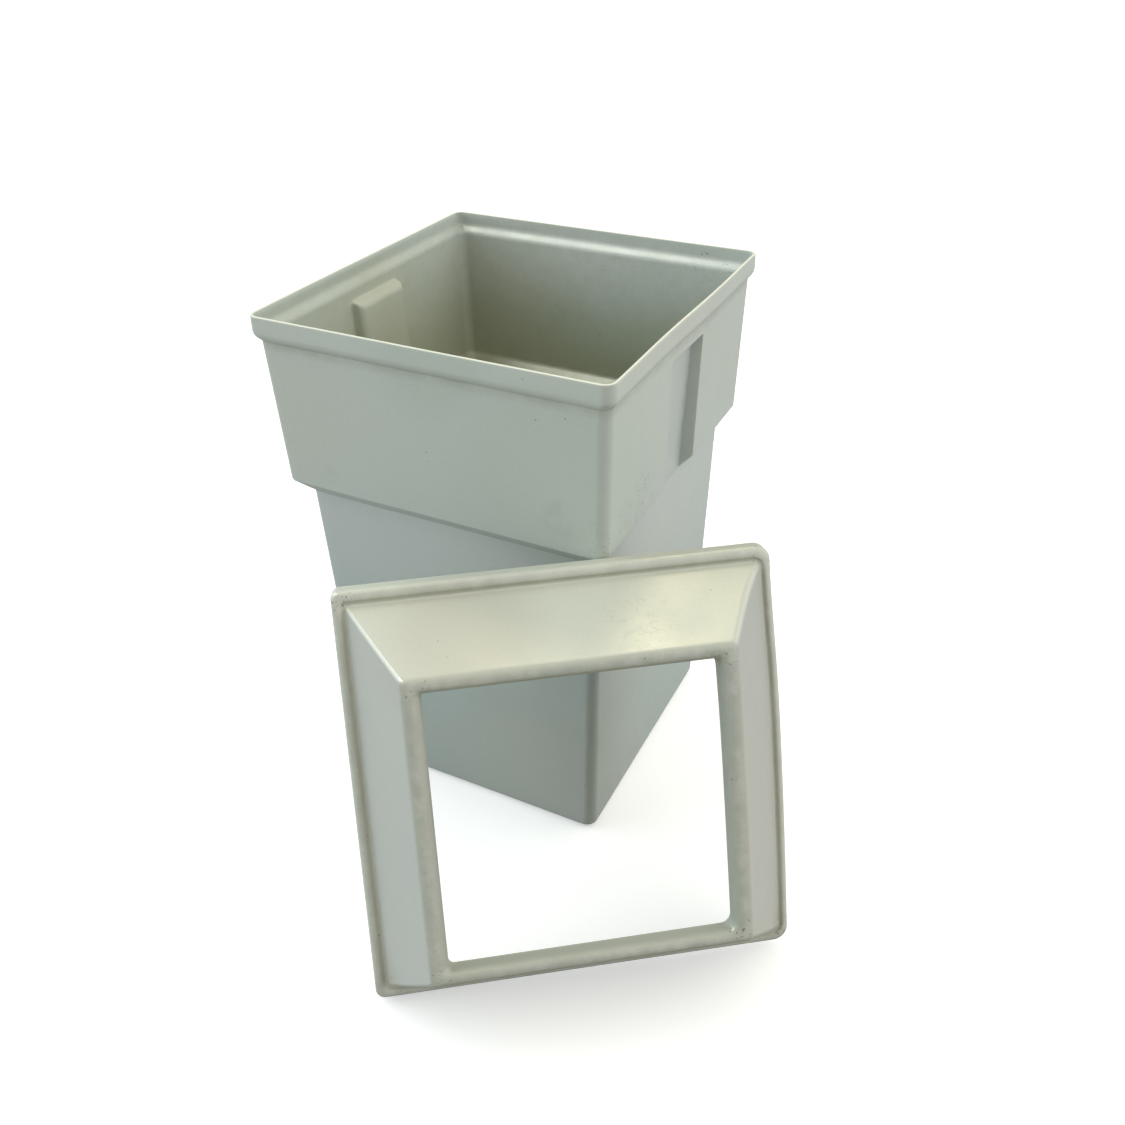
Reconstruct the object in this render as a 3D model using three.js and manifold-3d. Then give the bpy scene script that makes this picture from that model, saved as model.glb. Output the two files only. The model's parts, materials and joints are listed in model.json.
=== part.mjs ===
// A two-piece plastic mould for casting plaster, drawn as three.js meshes in millimetres, +Z up.
// The mould body is an open square vessel formed from sheet: a tapered lower body, a sloped
// ledge, a wider collar and an outset lip. A slot is pressed into the collar on its +X and -X
// walls. The top frame is a square formed ring with a raised, sloped face around a square
// aperture. It is loose, and stands on its lower edge, leaning on the body's near corner.
// The origin is the centre of the body's base, on the floor.

import * as THREE from 'three';
import Module from 'manifold-3d';
import { mergeVertices } from 'three/addons/utils/BufferGeometryUtils.js';

// Sheet and mesh fineness
const sheet = 3;
const cornerSteps = 6;
const arcSteps = 5;
const apertureOutlines = 2;

// Mould body
const bodyHeight = 584;
const rimHalf = 200;
const lipHeight = 26;
const lipRound = 5;
const collarTopHalf = 194.4;
const collarBottomHalf = 188.2;
const collarBottomZ = 394;
const ledgeBottomZ = 377;
const bodyTopHalf = 172.3;
const bodyBottomHalf = 158.9;
const baseRound = 8;
const bodyCorner = 12;

// Slots pressed into the collar. A slot's floor starts flush with the lower wall at the ledge,
// and leans out a little more than that wall does.
const slotWidth = 82;
const slotTopZ = 542;
const slotFloorZ = 392;
const slotBottomZ = 340;
const slotExtraDraft = 0.0215;

// Top frame, drawn flat: s runs inwards from the outer edge, w is the height above its back edge
const frameHalf = 206.4;
const skirtDepth = 18.5;
const beadRadius = 5;
const beadEndAngle = Math.PI / 4;
const flange = { left: 11.5, right: 9, bottom: 11.5, top: 15 };
const grooveHeight = 12;
const crestInset = 68.4;
const crestHeight = 101;
const crestRadius = 6.3;
const returnDepth = 11.2;
const returnDraft = 1;
const outerCorner = 10;
const hipCorner = 4.5;
const apertureCorner = 9;
const smallestCorner = 1;

// How the frame stands: turned towards the body's near corner, leaning back, one end on the floor
const frameHeading = THREE.MathUtils.degToRad(33.9);
const frameLean = THREE.MathUtils.degToRad(18.3);
const frameTilt = THREE.MathUtils.degToRad(1.2);
const frameFoot = new THREE.Vector2(225.4, -314.9);

const wasm = await Module();
wasm.setup();

// One outline of a loft: a rectangle with round corners, counter-clockwise from above.
function ringPoints({ left, right, bottom, top, radius, z }) {
  const corners = [
    { x: right - radius, y: -bottom + radius, start: -Math.PI / 2 },
    { x: right - radius, y: top - radius, start: 0 },
    { x: -left + radius, y: top - radius, start: Math.PI / 2 },
    { x: -left + radius, y: -bottom + radius, start: Math.PI },
  ];
  const points = [];
  for (const { x, y, start } of corners) {
    for (let step = 0; step <= cornerSteps; step += 1) {
      const angle = start + (Math.PI / 2) * (step / cornerSteps);
      points.push(new THREE.Vector3(x + radius * Math.cos(angle), y + radius * Math.sin(angle), z));
    }
  }
  return points;
}

function squareRing(half, z, radius) {
  return { left: half, right: half, bottom: half, top: half, radius, z };
}

function geometryOf(points, indices) {
  const geometry = new THREE.BufferGeometry().setFromPoints(points);
  geometry.setIndex(indices);
  return geometry;
}

// Two triangles for each step between one outline and the next.
function joinOutlines(indices, lower, upper, count) {
  for (let i = 0; i < count; i += 1) {
    const next = (i + 1) % count;
    indices.push(lower + i, lower + next, upper + next);
    indices.push(lower + i, upper + next, upper + i);
  }
}

// A solid through outlines that rise from the first to the last, closed by a fan at each end.
function cappedLoft(rings) {
  const outlines = rings.map(ringPoints);
  const points = outlines.flat();
  const count = outlines[0].length;
  const indices = [];
  for (let ring = 0; ring + 1 < outlines.length; ring += 1) {
    joinOutlines(indices, ring * count, (ring + 1) * count, count);
  }
  const lastStart = (outlines.length - 1) * count;
  const bottomCentre = points.push(new THREE.Vector3(0, 0, rings[0].z)) - 1;
  const topCentre = points.push(new THREE.Vector3(0, 0, rings[rings.length - 1].z)) - 1;
  for (let i = 0; i < count; i += 1) {
    const next = (i + 1) % count;
    indices.push(bottomCentre, next, i);
    indices.push(topCentre, lastStart + i, lastStart + next);
  }
  return geometryOf(points, indices);
}

// A ring-shaped solid through outlines whose last one joins back to the first.
function closedLoft(rings) {
  const outlines = rings.map(ringPoints);
  const count = outlines[0].length;
  const indices = [];
  for (let ring = 0; ring < outlines.length; ring += 1) {
    joinOutlines(indices, ring * count, ((ring + 1) % outlines.length) * count, count);
  }
  return geometryOf(outlines.flat(), indices);
}

function toSolid(geometry) {
  const bare = geometry.index ? geometry.clone() : geometry;
  bare.deleteAttribute('normal');
  bare.deleteAttribute('uv');
  const merged = mergeVertices(bare);
  const mesh = new wasm.Mesh({
    numProp: 3,
    vertProperties: new Float32Array(merged.attributes.position.array),
    triVerts: new Uint32Array(merged.index.array),
  });
  return new wasm.Manifold(mesh);
}

function toGeometry(solid) {
  const { vertProperties, triVerts } = solid.getMesh();
  const geometry = new THREE.BufferGeometry();
  geometry.setAttribute('position', new THREE.BufferAttribute(vertProperties, 3));
  geometry.setIndex(new THREE.BufferAttribute(triVerts, 1));
  geometry.computeVertexNormals();
  return geometry;
}

function arc(centreX, centreY, radius, from, to) {
  const points = [];
  for (let step = 0; step <= arcSteps; step += 1) {
    const angle = from + (to - from) * (step / arcSteps);
    points.push([centreX + radius * Math.cos(angle), centreY + radius * Math.sin(angle)]);
  }
  return points;
}

// The same outline moved to its left-hand side by a distance, with mitred bends.
function offsetLeft(points, distance) {
  const normals = points.slice(1).map(([x, y], i) => {
    const along = new THREE.Vector2(x - points[i][0], y - points[i][1]).normalize();
    return new THREE.Vector2(-along.y, along.x);
  });
  return points.map(([x, y], i) => {
    const before = normals[Math.max(i - 1, 0)];
    const after = normals[Math.min(i, normals.length - 1)];
    const mitre = before.clone().add(after).normalize();
    const reach = distance / mitre.dot(before);
    return [x + mitre.x * reach, y + mitre.y * reach];
  });
}

// Half-widths and heights up the outside of the mould body, base to rim.
function bodyProfile() {
  const lipBottomZ = bodyHeight - lipHeight;
  const quarter = Math.PI / 2;
  return [
    ...arc(bodyBottomHalf - baseRound, baseRound, baseRound, -quarter, 0),
    [bodyTopHalf, ledgeBottomZ],
    [collarBottomHalf, collarBottomZ],
    [collarTopHalf, lipBottomZ],
    ...arc(rimHalf - lipRound, lipBottomZ + lipRound, lipRound, -quarter / 2, 0),
    [rimHalf, bodyHeight],
  ];
}

// The block of space a slot takes out of a wall. Its inner face follows the lower wall's draft,
// then leans out a little more above slotFloorZ.
function slotSpace(side, insetBy, growBy) {
  const draft = (bodyTopHalf - bodyBottomHalf) / (ledgeBottomZ - baseRound);
  const wallAt = (z) => bodyTopHalf + draft * (z - ledgeBottomZ) - insetBy;
  const topZ = slotTopZ + growBy;
  const topHalf = wallAt(topZ) + slotExtraDraft * (topZ - slotFloorZ);
  const outline = new THREE.Shape([
    new THREE.Vector2(wallAt(slotBottomZ), slotBottomZ),
    new THREE.Vector2(rimHalf, slotBottomZ),
    new THREE.Vector2(rimHalf, topZ),
    new THREE.Vector2(topHalf, topZ),
    new THREE.Vector2(wallAt(slotFloorZ), slotFloorZ),
  ]);
  const width = slotWidth + 2 * growBy;
  const block = new THREE.ExtrudeGeometry(outline, { depth: width, bevelEnabled: false });
  block.translate(0, 0, -width / 2);
  block.rotateX(Math.PI / 2);
  if (side < 0) {
    block.rotateZ(Math.PI);
  }
  return toSolid(block);
}

function makeMouldBody() {
  const outside = bodyProfile();
  const inside = offsetLeft(outside, sheet);
  const innerCorner = bodyCorner - sheet;
  const outerRings = outside.map(([half, z]) => squareRing(half, z, bodyCorner));
  const innerRings = inside.map(([half, z]) => squareRing(half, z, innerCorner));
  const aboveRim = squareRing(rimHalf - sheet, bodyHeight + sheet, innerCorner);
  let outer = toSolid(cappedLoft(outerRings));
  let cavity = toSolid(cappedLoft([...innerRings, aboveRim]));
  for (const side of [1, -1]) {
    outer = outer.subtract(slotSpace(side, 0, 0));
    cavity = cavity.subtract(slotSpace(side, sheet, sheet));
  }
  return toGeometry(outer.subtract(cavity));
}

// Insets and heights over the front of the frame, from the back edge to the aperture's edge.
function frameFront(flangeWidth) {
  const bead = [beadRadius, skirtDepth - beadRadius];
  const crest = new THREE.Vector2(crestInset, crestHeight - crestRadius);
  const groove = new THREE.Vector2(flangeWidth, grooveHeight);
  const toCrest = crest.clone().sub(groove);
  const slope = toCrest.angle() + Math.asin(crestRadius / toCrest.length());
  return [
    [0, 0],
    ...arc(...bead, beadRadius, Math.PI, beadEndAngle),
    [groove.x, groove.y],
    ...arc(crest.x, crest.y, crestRadius, slope + Math.PI / 2, 0),
    [crest.x + crestRadius + returnDraft, crest.y - returnDepth],
  ];
}

// Corner radius of each outline over the front of the frame: the bead and groove, the hips of
// the sloped faces, then the two outlines at the aperture.
function frameCorners(count) {
  const beadEnd = arcSteps + 1;
  return Array.from({ length: count }, (_, i) => {
    if (i <= beadEnd) {
      return outerCorner;
    }
    return i < count - apertureOutlines ? hipCorner : apertureCorner;
  });
}

// The frame lies flat here, its back edge at w = 0 and the middle of its lower edge at the origin.
function makeTopFrame() {
  const sides = Object.keys(flange);
  const fronts = Object.fromEntries(sides.map((side) => [side, frameFront(flange[side])]));
  const backs = Object.fromEntries(sides.map((side) => [side, offsetLeft(fronts[side], -sheet)]));
  const corners = frameCorners(fronts.left.length);
  const frontRings = corners.map((radius, i) => {
    const reach = Object.fromEntries(sides.map((side) => [side, frameHalf - fronts[side][i][0]]));
    return { ...reach, radius, z: fronts.left[i][1] };
  });
  const backRings = corners.map((radius, i) => {
    const reach = Object.fromEntries(sides.map((side) => [side, frameHalf - backs[side][i][0]]));
    const backRadius = radius - (frontRings[i].left - reach.left);
    return { ...reach, radius: Math.max(backRadius, smallestCorner), z: backs.left[i][1] };
  });
  const ring = closedLoft([...frontRings, ...backRings.reverse()]);
  ring.translate(0, frameHalf, 0);
  return toGeometry(toSolid(ring));
}

const material = (color, roughness) =>
  new THREE.MeshStandardMaterial({ color, roughness, metalness: 0 });

const mouldBody = new THREE.Mesh(makeMouldBody(), material(0xaab6ae, 0.5));
mouldBody.name = 'mould_body';

const topFrame = new THREE.Mesh(makeTopFrame(), material(0xc4c6b2, 0.45));
topFrame.name = 'top_frame';
topFrame.rotation.z = frameTilt;

const leaning = new THREE.Group();
leaning.rotation.x = Math.PI / 2 - frameLean;
leaning.add(topFrame);

const standing = new THREE.Group();
const footLift = frameHalf * Math.sin(frameTilt) * Math.cos(frameLean);
standing.position.set(frameFoot.x, frameFoot.y, footLift);
standing.rotation.z = frameHeading;
standing.add(leaning);

const plasterMould = new THREE.Group();
plasterMould.add(mouldBody, standing);

export default plasterMould;
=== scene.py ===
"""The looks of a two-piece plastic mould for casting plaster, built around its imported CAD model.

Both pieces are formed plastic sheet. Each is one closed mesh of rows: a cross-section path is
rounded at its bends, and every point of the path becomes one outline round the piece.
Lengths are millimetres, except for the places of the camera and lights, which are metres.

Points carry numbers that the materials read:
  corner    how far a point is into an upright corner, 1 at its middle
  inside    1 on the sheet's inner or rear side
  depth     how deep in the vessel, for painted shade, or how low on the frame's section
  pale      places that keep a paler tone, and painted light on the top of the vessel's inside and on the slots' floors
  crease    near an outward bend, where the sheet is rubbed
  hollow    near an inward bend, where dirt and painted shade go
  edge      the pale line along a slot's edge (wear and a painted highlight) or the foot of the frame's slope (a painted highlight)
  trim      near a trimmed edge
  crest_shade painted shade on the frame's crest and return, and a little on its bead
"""

import json
import math

import bpy
import numpy as np
from mathutils import Matrix, Vector


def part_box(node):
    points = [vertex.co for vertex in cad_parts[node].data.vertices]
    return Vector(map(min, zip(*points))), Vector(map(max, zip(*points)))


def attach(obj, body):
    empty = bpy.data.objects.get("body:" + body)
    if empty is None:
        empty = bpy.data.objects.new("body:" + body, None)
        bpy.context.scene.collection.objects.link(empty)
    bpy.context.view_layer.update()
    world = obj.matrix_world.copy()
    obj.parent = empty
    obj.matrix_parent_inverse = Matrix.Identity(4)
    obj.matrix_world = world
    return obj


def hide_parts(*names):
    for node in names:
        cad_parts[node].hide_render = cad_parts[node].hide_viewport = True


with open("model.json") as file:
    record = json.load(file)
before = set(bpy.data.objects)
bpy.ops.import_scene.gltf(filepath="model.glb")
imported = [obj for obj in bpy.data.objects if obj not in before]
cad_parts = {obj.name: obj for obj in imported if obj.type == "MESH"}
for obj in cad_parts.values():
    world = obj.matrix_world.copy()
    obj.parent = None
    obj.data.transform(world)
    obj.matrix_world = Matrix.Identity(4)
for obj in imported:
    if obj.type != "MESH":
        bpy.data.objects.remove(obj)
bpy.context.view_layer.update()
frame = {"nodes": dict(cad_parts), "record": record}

MM = 0.001
SHEET = 3.0
BEND_STEPS = 7
BEND_ROOM = 0.96  # the most of the length between two bends that they may take
CORNER_STEPS = 10
TRIM_ROUND = 0.8

# Mould body: half-widths, heights and corner radii
LIP_HEIGHT = 21.5
RIM_SHARE = 0.25  # the part of the lip's height that the rim's own path covers
COLLAR_TOP_HALF = 194.4
COLLAR_TOP_Z = 556.5
COLLAR_BOTTOM_HALF = 188.2
COLLAR_BOTTOM_Z = 394.0
LEDGE_BOTTOM_Z = 377.0
BODY_TOP_HALF = 172.3
BODY_BOTTOM_HALF = 158.6
BODY_CORNER = 12.0
INNER_CORNER = 10.0
COVE_TOP_DROP = 15.5
COVE_BOTTOM_DROP = 24.5
# (Bend radius, steps to the next bend), going up from the base
OUTER_BENDS = ((8, 26), (1.5, 3), (2.6, 16), (1.6, 1), (13, 4))
INNER_BENDS = ((7, 26), (9, 3), (9, 16), (14, 1), (12, 2))
# The innermost outline of the base, and steps from there to the base's edge
BASE_MIDDLE_HALF = 1
BASE_MIDDLE_CORNER = 0.5
BASE_STEPS = 8
# The ledge isn't level: it rises by this at the middle, and by twice this at +Y
LEDGE_LIFT = 1.3
LEDGE_LIFT_REACH = 60.0

# The walls' waves: share, waves across and their phase, waves up and their phase. The phases
# differ from wall to wall by WALL_PHASE.
WAVES = ((1.0, 2.1, 1.0, 3.4, 0.6), (0.35, 5.3, -1.0, 9.0, 1.0))
WAVE_HEIGHT = 0.5
WALL_PHASE = 1.7
# The rim's S-shaped run on the +X side, and how far down it reaches as a share of the height
RIM_S_CURVE = 1.3
RIM_S_REACH = 0.12

# The inside's deeper, olive tone, painted shade down the vessel: where it starts, on the +X,
# +Y, -X, -Y and again the +X wall, and where it is full, as shares of the height
DEEP_SHADE_TOPS = (0.99, 0.95, 1.25, 0.99, 0.99)
DEEP_SHADE_BOTTOM = 0.62
# Painted light on the inside's top: how pale it is on the same walls, and between which
# shares of the height it becomes so
INNER_PAINTED_LIGHT = (0.3, 1.0, 0.0, 0.3, 0.3)
INNER_PAINTED_LIGHT_FROM = 0.80
INNER_PAINTED_LIGHT_FULL = 0.94
# The outside grows paler from here up to the ledge, and the slots' floors are this pale, painted
# light against the shade in the slots
PALE_FROM = 150.0
SLOT_PAINTED_LIGHT = 0.6
# How far a bend's or a trimmed edge's marks reach
BODY_CREASE_REACH = 5.0
BODY_HOLLOW_REACH = 2.2
BODY_TRIM_REACH = 1.5

# Slots pressed into the collar's +X and -X walls
SLOT_HALF_WIDTH = 41.0
SLOT_TOP_Z = 542.0
SLOT_FLOOR_Z = 392.0
SLOT_EXTRA_DRAFT = 0.0215
SLOT_DEPTH = 14.0
SLOT_LEAN = 1.2
SLOT_EDGE_STEPS = 5
# Bend radii at a slot's edge and at its floor, on the sheet's outer and inner sides
OUTER_SLOT_ROUNDS = (0.7, 1.2)
INNER_SLOT_ROUNDS = (3.0, 9.0)
# A wall needs this much beyond a slot's edge, or its points are spread evenly
SLOT_CLEARANCE = 6.0
# Rows this close to a slot's edge rows are dropped
ROW_CLEARANCE = 2.0
# A slot runs out this far below the ledge, and is one only where it is this deep
SLOT_RUN_OUT = 30.0
SLOT_SHALLOWEST = 1.0
# Where the pale line of wear and painted highlight along a slot's edge is, as a share of the slot's
# depth, and its spread
SLOT_EDGE_SHARE = 0.08
SLOT_EDGE_SPREAD = 0.10
# Steps along a wall beside a slot, and across a slot's floor
BESIDE_STEPS = 8
FLOOR_STEPS = 6

# Top frame: insets from its outer edge, and heights above its back edge
SKIRT_DEPTH = 18.5
BEAD_ROUND = 6.5
BEAD_MIDDLE = 4.5
BEAD_CROWN = 7.0
BEAD_FALL_ROUND = 5.0
VALLEY_WIDTH = 2.0
VALLEY_ROUND = 4.0
GROOVE_HEIGHT = 15.6
GROOVE_ROUND = 0.6
GROOVE_BACK_ROUND = 3.5
CREST_INSET = 65.7
CREST_HEIGHT = 101.0
CREST_ROUND = 9.0
RETURN_DEPTH = 11.2
RETURN_DRAFT = 1.0
SMALLEST_BACK_CORNER = 1.5
FRAME_SIDE_POINTS = 32
# Width of the flat flange before the groove, on the right, top, left and bottom sides
FLANGE = np.array([9.5, 14.5, 11.5, 11.5])
# How far the crest sits further in on these sides, and the aperture's share of that
CREST_SHIFT = np.array([0.0, 0.0, 0.0, 5.0])
APERTURE_SHARE = -0.3
# How far each side's sloped face bulges out at half height
SLOPE_BULGE = np.array([1.0, 0.0, 0.5, 0.5])
# Corner radii, each for the corners after the right, top, left and bottom sides
OUTER_CORNERS = (13.0, 7.0, 9.0, 14.0)
HIP_CORNERS = (6.5, 3.4, 4.5, 5.5)
CREST_CORNERS = (6.0, 4.8, 6.0, 6.5)
APERTURE_CORNERS = (8.0, 6.0, 6.0, 10.0)

# How the frame strays from true. The right side bows out, falling off either side of a place
# given as a share of the half-height, and the left side bows in towards its foot.
FRAME_TILT = math.radians(1.2)
RIGHT_BOW = 1.0
RIGHT_BOW_FALL = 2.4
RIGHT_BOW_MIDDLE = 0.1
LEFT_BOW = 0.35
# The foot lifts, more at its left end
FOOT_LIFT = 1.6
FOOT_TILT = 0.5
FOOT_REACH = 0.15
# The slope beside the upper right mitre sinks
MITRE_PLACE = 0.8
MITRE_SINK = 3.6
MITRE_SKEW = 0.8
MITRE_START = 2.6
MITRE_REACH = 70.0

# Painted shade on the bead as a share of the crest's, and the widths over which bead and crest fade
# in
BEAD_SHADE = 0.12
BEAD_FADE = 0.6
CREST_FADE = 2.0
# How far a bend's or a trimmed edge's marks reach
FRAME_CREASE_REACH = 6.0
FRAME_HOLLOW_REACH = 2.4
FRAME_TRIM_REACH = 1.9
# The painted highlight at the foot of the sloped face: its reach and strength
FRAME_EDGE_REACH = 0.9
FRAME_EDGE_STRENGTH = 0.7
# The flange's pale tone goes this far past the groove
PALE_OVERLAP = 0.2

# Camera: place, direction, and lens and sensor in millimetres
CAMERA_PLACE = (0.5526, -0.9748, 0.9836)
CAMERA_YAW = math.radians(26.079)
CAMERA_PITCH = math.radians(28.069)
CAMERA_ROLL = math.radians(0.555)
CAMERA_LENS = 35.37
CAMERA_SENSOR = 36.0
CAMERA_SHIFT = (-0.0197, -0.1054)
# The sensor's width, which leaves room for the lens's shift
CAMERA_FIT_WIDTH = 28.8

# Light: soft glows of the surround, each with its azimuth and elevation in degrees, strength
# and colour. Azimuth 0 is +X and 90 is +Y.
GLOWS = {
    "left": (180, 8, 2.9, (0.88, 0.99, 1.16)),
    "front_left": (225, 8, 1.75, (0.94, 1.03, 1.0)),
    "right_high": (0, 48, 1.7, (1.07, 1.0, 0.86)),
    "right_low": (0, 8, 0.95, (0.8, 0.98, 1.25)),
    "back_right": (45, 8, 1.2, (1.04, 1.0, 0.92)),
    "back_high": (135, 48, 1.4, (1.0, 1.03, 0.90)),
}
GLOW_FOCUS = 4.0
# Two lights that only show as sheen: place, side, power and colour
GLINTS = (
    ((-0.13, 0.74, 2.44), 0.48, 19, (1.0, 0.88, 0.52)),
    ((-1.08, -1.35, 2.35), 1.0, 125, (0.97, 1.0, 0.87)),
)
GLINT_TARGET = (0.1, -0.1, 0.3)

# Floor: its half-width and drop in metres, its tone and glow to the camera, and the share of
# light that it sends back up
FLOOR_HALF = 14.0
FLOOR_DROP = 0.0005
FLOOR_TONE = 0.8
FLOOR_GLOW = 0.35
FLOOR_BOUNCE = 0.35


# ---------------------------------------------------------------- cross-section paths

def bend_cut(before, corner, after, radius):
    """How far from a path's corner an arc of this radius starts."""
    if radius <= 0:
        return 0.0
    back = before[:2] - corner[:2]
    ahead = after[:2] - corner[:2]
    cosine = back @ ahead / (np.linalg.norm(back) * np.linalg.norm(ahead))
    return radius / math.tan(0.5 * math.acos(np.clip(cosine, -1, 1)))


def round_bend(before, corner, after, cut):
    """Points of the arc that rounds a path's corner. Values past the first two are blended."""
    if cut <= 0:
        return [corner]
    start = corner + (before - corner) * (cut / np.linalg.norm(before[:2] - corner[:2]))
    end = corner + (after - corner) * (cut / np.linalg.norm(after[:2] - corner[:2]))
    back = (start - corner)[:2] / cut
    ahead = (end - corner)[:2] / cut
    half_angle = 0.5 * math.acos(np.clip(back @ ahead, -1, 1))
    bisector = (back + ahead) / np.linalg.norm(back + ahead)
    centre = corner[:2] + bisector * cut / math.cos(half_angle)
    from_centre = start[:2] - centre
    to_end = end[:2] - centre
    turn = math.atan2(from_centre[0] * to_end[1] - from_centre[1] * to_end[0], from_centre @ to_end)
    points = []
    for step in range(BEND_STEPS + 1):
        share = step / BEND_STEPS
        point = (1 - share) ** 2 * start + 2 * share * (1 - share) * corner + share ** 2 * end
        c, s = math.cos(turn * share), math.sin(turn * share)
        point[:2] = centre + (from_centre[0] * c - from_centre[1] * s,
                              from_centre[0] * s + from_centre[1] * c)
        points.append(point)
    return points


def rounded_path(corners, closed):
    """A dense path through corners given as (values, bend radius, steps to the next corner).
    Where two bends want more than the length between them, they share it."""
    values = [np.array(corner[0], float) for corner in corners]
    count = len(values)
    wanted = []
    for i, (_, radius, _) in enumerate(corners):
        at_end = not closed and i in (0, count - 1)
        wanted.append(bend_cut(values[i - 1], values[i], values[(i + 1) % count],
                               0 if at_end else radius))
    room = [BEND_ROOM * np.linalg.norm((values[(i + 1) % count] - values[i])[:2])
            / max(wanted[i] + wanted[(i + 1) % count], 1e-9) for i in range(count)]
    bends = [round_bend(values[i - 1], values[i], values[(i + 1) % count],
                        wanted[i] * min(1.0, room[i - 1], room[i])) for i in range(count)]
    path = []
    for i, (_, _, steps) in enumerate(corners):
        path.extend(bends[i])
        if not closed and i == count - 1:
            break
        start, end = bends[i][-1], bends[(i + 1) % count][0]
        path.extend(start + (end - start) * (step / steps) for step in range(1, steps))
    return np.array(path)


def offset_left(points, distance):
    """Plane points moved to the left of the path's direction, with mitred bends."""
    points = np.array(points, float)
    along = np.diff(points, axis=0)
    along /= np.linalg.norm(along, axis=1)[:, None]
    normals = np.stack([-along[:, 1], along[:, 0]], axis=1)
    before = np.vstack([normals[:1], normals])
    after = np.vstack([normals, normals[-1:]])
    mitre = before + after
    mitre /= np.linalg.norm(mitre, axis=1)[:, None]
    return points + mitre * (distance / (mitre * before).sum(1))[:, None]


def nearness(path, places, reach):
    """1 on any of the places, falling to 0 about two reaches away."""
    gaps = np.linalg.norm(path[:, None, :2] - np.array(places, float)[None], axis=2)
    return np.exp(-(gaps / reach) ** 2).max(1)


# ---------------------------------------------------------------- outlines

def outline(reaches, radii, marks):
    """Points round a rectangle with round corners, with each point's wall, its place along that
    wall, and how far it is into a corner. Walls run +X, +Y, -X, -Y, and radii[i] is the corner
    after wall i. marks(start, end) gives the places along a wall."""
    points, walls, along, into = [], [], [], []
    for wall in range(4):
        out = reaches[wall]
        radius = radii[wall]
        start = -(reaches[wall - 1] - radii[wall - 1])
        end = reaches[(wall + 1) % 4] - radius
        local = [(out, place, place, 0.0) for place in marks(start, end)]
        for step in range(1, CORNER_STEPS):
            angle = 0.5 * math.pi * step / CORNER_STEPS
            local.append((out - radius + radius * math.cos(angle),
                          end + radius * math.sin(angle), end, math.sin(2 * angle)))
        c, s = round(math.cos(0.5 * math.pi * wall)), round(math.sin(0.5 * math.pi * wall))
        for a, t, place, corner in local:
            points.append((a * c - t * s, a * s + t * c))
            walls.append(wall)
            along.append(place)
            into.append(corner)
    return np.array(points), np.array(walls), np.array(along), np.array(into)


def grid_faces(row_count, column_count, closed):
    """Faces between neighbouring rows. The last column joins the first."""
    faces = []
    for row in range(row_count if closed else row_count - 1):
        here = row * column_count
        above = ((row + 1) % row_count) * column_count
        for column in range(column_count):
            beside = (column + 1) % column_count
            faces.append((here + column, here + beside, above + beside, above + column))
    return faces


def make_piece(name, points, faces, traits):
    """A smooth mesh object from millimetre points, carrying named numbers on its points."""
    mesh = bpy.data.meshes.new(name)
    mesh.from_pydata((np.array(points) * MM).tolist(), [], faces)
    for trait, values in traits.items():
        mesh.attributes.new(trait, "FLOAT", "POINT").data.foreach_set(
            "value", np.asarray(values, np.float32))
    mesh.polygons.foreach_set("use_smooth", [True] * len(mesh.polygons))
    mesh.update()
    piece = bpy.data.objects.new(name, mesh)
    bpy.context.scene.collection.objects.link(piece)
    weighted = piece.modifiers.new("flat faces shade flat", "WEIGHTED_NORMAL")
    weighted.weight = 50
    return piece


# ---------------------------------------------------------------- mould body

def slot_edge(edge_round, floor_round, grow):
    """Across a slot's edge, from the wall into the slot: (distance past the edge, share of the
    slot's depth). grow moves the edge outwards, for the sheet's other side."""
    angles = np.linspace(0, 0.5 * math.pi, SLOT_EDGE_STEPS + 1)
    marks = [(edge_round * (1 - math.sin(angle)), edge_round * (1 - math.cos(angle)))
             for angle in angles]
    marks += [(-SLOT_LEAN - floor_round * (1 - math.cos(angle)),
               SLOT_DEPTH - floor_round * (1 - math.sin(angle))) for angle in angles]
    return [(place + grow, depth / SLOT_DEPTH) for place, depth in marks]


def wall_marks(edge):
    """A function giving places along a wall, with fine steps where a slot's edges may be."""
    slot_zone = SLOT_HALF_WIDTH + edge[0][0]
    floor_zone = SLOT_HALF_WIDTH + edge[-1][0]
    count = 2 * (BESIDE_STEPS + len(edge)) + FLOOR_STEPS - 1

    def marks(start, end):
        if end < slot_zone + SLOT_CLEARANCE:
            return np.linspace(start, end, count)
        left = np.linspace(start, -slot_zone, BESIDE_STEPS + 1)[:-1]
        into = [-(SLOT_HALF_WIDTH + place) for place, _ in edge]
        floor = np.linspace(-floor_zone, floor_zone, FLOOR_STEPS + 1)[1:-1]
        out = [-place for place in reversed(into)]
        right = np.linspace(slot_zone, end, BESIDE_STEPS + 1)[1:]
        return np.concatenate([left, into, floor, out, right])

    return marks


def slot_across(along, edge):
    """Share of the slot's depth at each place along the wall."""
    places = [SLOT_HALF_WIDTH + place for place, _ in reversed(edge)]
    shares = [share for _, share in reversed(edge)]
    return np.interp(np.abs(along), places, shares)


def add_slot_rows(rows, edge):
    """Puts a row at every step of the slot's upper edge. rows rise, and gain the slot's share."""
    heights = [SLOT_TOP_Z + place for place, _ in reversed(edge)]
    shares = [share for _, share in reversed(edge)]
    lowest, highest = heights[0] - ROW_CLEARANCE, heights[-1] + ROW_CLEARANCE
    kept = [row for row in rows if row[1] < lowest or row[1] > highest]
    z = rows[:, 1]
    extra = [np.array([np.interp(height, z, column) for column in rows.T]) for height in heights]
    merged = np.array(sorted(kept + extra, key=lambda row: row[1]))
    slot_share = np.interp(merged[:, 1], heights, shares)
    return merged, slot_share


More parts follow.
